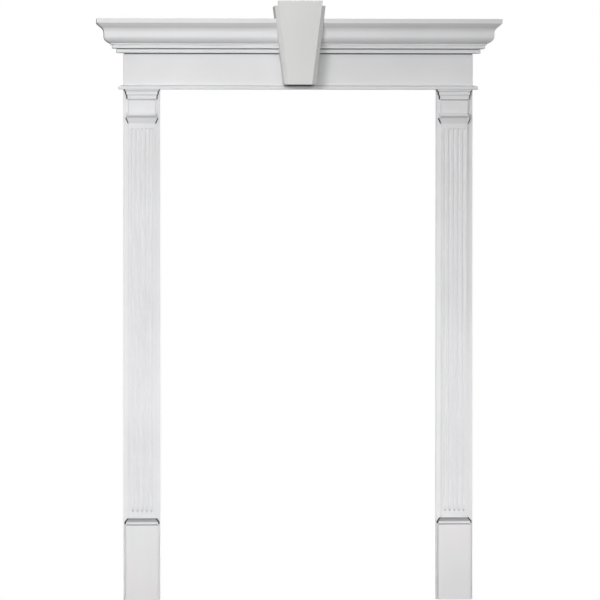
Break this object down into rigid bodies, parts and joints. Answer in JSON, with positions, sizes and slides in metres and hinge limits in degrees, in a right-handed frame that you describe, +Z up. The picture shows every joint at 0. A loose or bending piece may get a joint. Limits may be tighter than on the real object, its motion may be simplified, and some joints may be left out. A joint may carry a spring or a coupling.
{
  "type": "door surround",
  "caption": "Moulded white door surround: a crosshead pediment with cornice, frieze and keystone on fluted pilasters with plinth blocks, open between them for a doorway.",
  "frame": {"origin": "middle of the crosshead's flat back, on the wall plane", "axes": "+Z up, +Y into the wall, +X to the right as seen from the front"},
  "size_m": [1.809, 0.177, 2.6773],
  "materials": {
    "crosshead_paint": "matt white primer on moulded foam plastic",
    "keystone_paint": "matt off-white primer on moulded foam plastic",
    "pilaster_paint": "matt white primer on moulded foam plastic",
    "plinth_paint": "matt white primer on moulded foam plastic"
  },
  "bodies": {
    "root": {"crosshead": "crosshead_paint", "keystone": "keystone_paint", "pilaster_left": "pilaster_paint", "pilaster_right": "pilaster_paint", "plinth_left": "plinth_paint", "plinth_right": "plinth_paint"}
  },
  "joints": []
}
